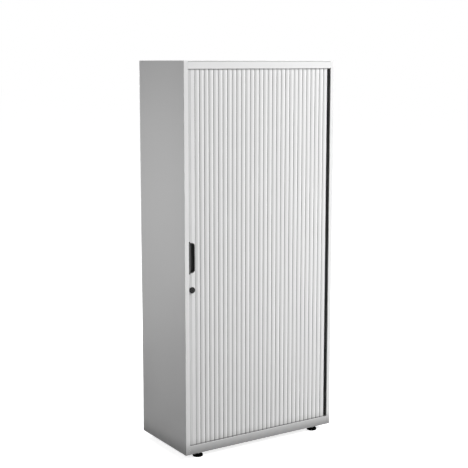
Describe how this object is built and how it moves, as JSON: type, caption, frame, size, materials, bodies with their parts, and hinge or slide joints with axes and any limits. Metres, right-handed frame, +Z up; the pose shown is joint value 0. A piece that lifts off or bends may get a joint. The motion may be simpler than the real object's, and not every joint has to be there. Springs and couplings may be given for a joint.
{
  "type": "tambour door cabinet",
  "caption": "Tall steel storage cabinet with one side-opening tambour curtain, recessed finger pull, lock, adjustable shelves and levelling feet.",
  "frame": {"origin": "centre of the footprint, on the floor under the feet", "axes": "+X to the right seen from the front, +Y from the front to the back, +Z up"},
  "size_m": [0.9, 0.45, 1.98],
  "materials": {
    "painted_steel": "satin light grey powder coat",
    "curtain_plastic": "satin light grey extrusion",
    "guide_nylon": "moulded grey",
    "zinc_plated_steel": "bright zinc plate",
    "dark_plastic": "fine moulded texture",
    "foot_plastic": "moulded black",
    "lock_black": "black lacquer",
    "buffer_rubber": "matt"
  },
  "bodies": {
    "cabinet": {"side_left": "painted_steel", "side_right": "painted_steel", "top_panel": "painted_steel", "soffit_panel": "painted_steel", "base_panel": "painted_steel", "back_panel": "painted_steel", "lining_right": "painted_steel", "false_back": "painted_steel", "track_bottom": "guide_nylon", "track_top": "guide_nylon", "stop_buffers": "buffer_rubber", "striker_plate": "zinc_plated_steel", "shelf_1": "painted_steel", "shelf_2": "painted_steel", "shelf_3": "painted_steel", "shelf_4": "painted_steel", "shelf_uprights": "painted_steel", "shelf_clips": "zinc_plated_steel", "jamb_seal": "dark_plastic", "foot_bushes": "zinc_plated_steel"},
    "lead": {"lead_slat": "painted_steel", "lead_runners": "guide_nylon", "handle_cup": "dark_plastic", "lock_housing": "lock_black"},
    "lock": {"lock_barrel": "lock_black", "lock_hook": "zinc_plated_steel"},
    "slat_01": {"slat_01": "curtain_plastic"},
    "slat_02": {"slat_02": "curtain_plastic"},
    "slat_03": {"slat_03": "curtain_plastic"},
    "slat_04": {"slat_04": "curtain_plastic"},
    "slat_05": {"slat_05": "curtain_plastic"},
    "slat_06": {"slat_06": "curtain_plastic"},
    "slat_07": {"slat_07": "curtain_plastic"},
    "slat_08": {"slat_08": "curtain_plastic"},
    "slat_09": {"slat_09": "curtain_plastic"},
    "slat_10": {"slat_10": "curtain_plastic"},
    "slat_11": {"slat_11": "curtain_plastic"},
    "slat_12": {"slat_12": "curtain_plastic"},
    "slat_13": {"slat_13": "curtain_plastic"},
    "slat_14": {"slat_14": "curtain_plastic"},
    "slat_15": {"slat_15": "curtain_plastic"},
    "slat_16": {"slat_16": "curtain_plastic"},
    "slat_17": {"slat_17": "curtain_plastic"},
    "slat_18": {"slat_18": "curtain_plastic"},
    "slat_19": {"slat_19": "curtain_plastic"},
    "slat_20": {"slat_20": "curtain_plastic"},
    "slat_21": {"slat_21": "curtain_plastic"},
    "slat_22": {"slat_22": "curtain_plastic"},
    "slat_23": {"slat_23": "curtain_plastic"},
    "slat_24": {"slat_24": "curtain_plastic"},
    "slat_25": {"slat_25": "curtain_plastic"},
    "slat_26": {"slat_26": "curtain_plastic"},
    "slat_27": {"slat_27": "curtain_plastic"},
    "slat_28": {"slat_28": "curtain_plastic"},
    "slat_29": {"slat_29": "curtain_plastic"},
    "slat_30": {"slat_30": "curtain_plastic"},
    "foot_front_left": {"foot_front_left": "foot_plastic"},
    "foot_front_right": {"foot_front_right": "foot_plastic"},
    "foot_rear_left": {"foot_rear_left": "foot_plastic"},
    "foot_rear_right": {"foot_rear_right": "foot_plastic"}
  },
  "joints": [
    {"name": "curtain_slide", "type": "slide", "parent": "cabinet", "child": "lead", "axis": [1, 0, 0], "range_m": [0, 0.7964]},
    {"name": "lock_turn", "type": "hinge", "parent": "lead", "child": "lock", "pos_m": [-0.4055, -0.217, 0.8645], "axis": [0, 1, 0], "range_deg": [0, 90]},
    {"name": "slat_01_slide", "type": "slide", "parent": "cabinet", "child": "slat_01", "axis": [1, 0, 0], "range_m": [0, 0.7969], "deforming": ["slat_01"]},
    {"name": "slat_02_slide", "type": "slide", "parent": "cabinet", "child": "slat_02", "axis": [1, 0, 0], "range_m": [0, 0.77036], "deforming": ["slat_02"]},
    {"name": "slat_03_slide", "type": "slide", "parent": "cabinet", "child": "slat_03", "axis": [1, 0, 0], "range_m": [0, 0.74382], "deforming": ["slat_03"]},
    {"name": "slat_04_slide", "type": "slide", "parent": "cabinet", "child": "slat_04", "axis": [1, 0, 0], "range_m": [0, 0.71728], "deforming": ["slat_04"]},
    {"name": "slat_05_slide", "type": "slide", "parent": "cabinet", "child": "slat_05", "axis": [1, 0, 0], "range_m": [0, 0.69074], "deforming": ["slat_05"]},
    {"name": "slat_06_slide", "type": "slide", "parent": "cabinet", "child": "slat_06", "axis": [1, 0, 0], "range_m": [0, 0.6642], "deforming": ["slat_06"]},
    {"name": "slat_07_slide", "type": "slide", "parent": "cabinet", "child": "slat_07", "axis": [1, 0, 0], "range_m": [0, 0.63766], "deforming": ["slat_07"]},
    {"name": "slat_08_slide", "type": "slide", "parent": "cabinet", "child": "slat_08", "axis": [1, 0, 0], "range_m": [0, 0.61112], "deforming": ["slat_08"]},
    {"name": "slat_09_slide", "type": "slide", "parent": "cabinet", "child": "slat_09", "axis": [1, 0, 0], "range_m": [0, 0.58458], "deforming": ["slat_09"]},
    {"name": "slat_10_slide", "type": "slide", "parent": "cabinet", "child": "slat_10", "axis": [1, 0, 0], "range_m": [0, 0.55804], "deforming": ["slat_10"]},
    {"name": "slat_11_slide", "type": "slide", "parent": "cabinet", "child": "slat_11", "axis": [1, 0, 0], "range_m": [0, 0.5315], "deforming": ["slat_11"]},
    {"name": "slat_12_slide", "type": "slide", "parent": "cabinet", "child": "slat_12", "axis": [1, 0, 0], "range_m": [0, 0.50496], "deforming": ["slat_12"]},
    {"name": "slat_13_slide", "type": "slide", "parent": "cabinet", "child": "slat_13", "axis": [1, 0, 0], "range_m": [0, 0.47842], "deforming": ["slat_13"]},
    {"name": "slat_14_slide", "type": "slide", "parent": "cabinet", "child": "slat_14", "axis": [1, 0, 0], "range_m": [0, 0.45188], "deforming": ["slat_14"]},
    {"name": "slat_15_slide", "type": "slide", "parent": "cabinet", "child": "slat_15", "axis": [1, 0, 0], "range_m": [0, 0.42534], "deforming": ["slat_15"]},
    {"name": "slat_16_slide", "type": "slide", "parent": "cabinet", "child": "slat_16", "axis": [1, 0, 0], "range_m": [0, 0.3988], "deforming": ["slat_16"]},
    {"name": "slat_17_slide", "type": "slide", "parent": "cabinet", "child": "slat_17", "axis": [1, 0, 0], "range_m": [0, 0.37226], "deforming": ["slat_17"]},
    {"name": "slat_18_slide", "type": "slide", "parent": "cabinet", "child": "slat_18", "axis": [1, 0, 0], "range_m": [0, 0.34572], "deforming": ["slat_18"]},
    {"name": "slat_19_slide", "type": "slide", "parent": "cabinet", "child": "slat_19", "axis": [1, 0, 0], "range_m": [0, 0.31918], "deforming": ["slat_19"]},
    {"name": "slat_20_slide", "type": "slide", "parent": "cabinet", "child": "slat_20", "axis": [1, 0, 0], "range_m": [0, 0.29264], "deforming": ["slat_20"]},
    {"name": "slat_21_slide", "type": "slide", "parent": "cabinet", "child": "slat_21", "axis": [1, 0, 0], "range_m": [0, 0.2661], "deforming": ["slat_21"]},
    {"name": "slat_22_slide", "type": "slide", "parent": "cabinet", "child": "slat_22", "axis": [1, 0, 0], "range_m": [0, 0.23956], "deforming": ["slat_22"]},
    {"name": "slat_23_slide", "type": "slide", "parent": "cabinet", "child": "slat_23", "axis": [1, 0, 0], "range_m": [0, 0.21302], "deforming": ["slat_23"]},
    {"name": "slat_24_slide", "type": "slide", "parent": "cabinet", "child": "slat_24", "axis": [1, 0, 0], "range_m": [0, 0.18648], "deforming": ["slat_24"]},
    {"name": "slat_25_slide", "type": "slide", "parent": "cabinet", "child": "slat_25", "axis": [1, 0, 0], "range_m": [0, 0.15994], "deforming": ["slat_25"]},
    {"name": "slat_26_slide", "type": "slide", "parent": "cabinet", "child": "slat_26", "axis": [1, 0, 0], "range_m": [0, 0.1334], "deforming": ["slat_26"]},
    {"name": "slat_27_slide", "type": "slide", "parent": "cabinet", "child": "slat_27", "axis": [1, 0, 0], "range_m": [0, 0.10686], "deforming": ["slat_27"]},
    {"name": "slat_28_slide", "type": "slide", "parent": "cabinet", "child": "slat_28", "axis": [1, 0, 0], "range_m": [0, 0.08032], "deforming": ["slat_28"]},
    {"name": "slat_29_slide", "type": "slide", "parent": "cabinet", "child": "slat_29", "axis": [1, 0, 0], "range_m": [0, 0.05378], "deforming": ["slat_29"]},
    {"name": "slat_30_slide", "type": "slide", "parent": "cabinet", "child": "slat_30", "axis": [1, 0, 0], "range_m": [0, 0.02724], "deforming": ["slat_30"]},
    {"name": "foot_front_left_screw", "type": "slide", "parent": "cabinet", "child": "foot_front_left", "axis": [0, 0, -1], "range_m": [0, 0.012]},
    {"name": "foot_front_right_screw", "type": "slide", "parent": "cabinet", "child": "foot_front_right", "axis": [0, 0, -1], "range_m": [0, 0.012]},
    {"name": "foot_rear_left_screw", "type": "slide", "parent": "cabinet", "child": "foot_rear_left", "axis": [0, 0, -1], "range_m": [0, 0.012]},
    {"name": "foot_rear_right_screw", "type": "slide", "parent": "cabinet", "child": "foot_rear_right", "axis": [0, 0, -1], "range_m": [0, 0.012]}
  ],
  "couplings": [
    {"joint": "slat_01_slide", "follows": "curtain_slide", "ratio": 1},
    {"joint": "slat_02_slide", "follows": "curtain_slide", "ratio": 0.96667},
    {"joint": "slat_03_slide", "follows": "curtain_slide", "ratio": 0.93335},
    {"joint": "slat_04_slide", "follows": "curtain_slide", "ratio": 0.90002},
    {"joint": "slat_05_slide", "follows": "curtain_slide", "ratio": 0.8667},
    {"joint": "slat_06_slide", "follows": "curtain_slide", "ratio": 0.83337},
    {"joint": "slat_07_slide", "follows": "curtain_slide", "ratio": 0.80005},
    {"joint": "slat_08_slide", "follows": "curtain_slide", "ratio": 0.76672},
    {"joint": "slat_09_slide", "follows": "curtain_slide", "ratio": 0.7334},
    {"joint": "slat_10_slide", "follows": "curtain_slide", "ratio": 0.70008},
    {"joint": "slat_11_slide", "follows": "curtain_slide", "ratio": 0.66675},
    {"joint": "slat_12_slide", "follows": "curtain_slide", "ratio": 0.63343},
    {"joint": "slat_13_slide", "follows": "curtain_slide", "ratio": 0.6001},
    {"joint": "slat_14_slide", "follows": "curtain_slide", "ratio": 0.56678},
    {"joint": "slat_15_slide", "follows": "curtain_slide", "ratio": 0.53345},
    {"joint": "slat_16_slide", "follows": "curtain_slide", "ratio": 0.50013},
    {"joint": "slat_17_slide", "follows": "curtain_slide", "ratio": 0.4668},
    {"joint": "slat_18_slide", "follows": "curtain_slide", "ratio": 0.43348},
    {"joint": "slat_19_slide", "follows": "curtain_slide", "ratio": 0.40015},
    {"joint": "slat_20_slide", "follows": "curtain_slide", "ratio": 0.36683},
    {"joint": "slat_21_slide", "follows": "curtain_slide", "ratio": 0.3335},
    {"joint": "slat_22_slide", "follows": "curtain_slide", "ratio": 0.30018},
    {"joint": "slat_23_slide", "follows": "curtain_slide", "ratio": 0.26685},
    {"joint": "slat_24_slide", "follows": "curtain_slide", "ratio": 0.23353},
    {"joint": "slat_25_slide", "follows": "curtain_slide", "ratio": 0.2002},
    {"joint": "slat_26_slide", "follows": "curtain_slide", "ratio": 0.16688},
    {"joint": "slat_27_slide", "follows": "curtain_slide", "ratio": 0.13355},
    {"joint": "slat_28_slide", "follows": "curtain_slide", "ratio": 0.10023},
    {"joint": "slat_29_slide", "follows": "curtain_slide", "ratio": 0.066901},
    {"joint": "slat_30_slide", "follows": "curtain_slide", "ratio": 0.033576}
  ]
}
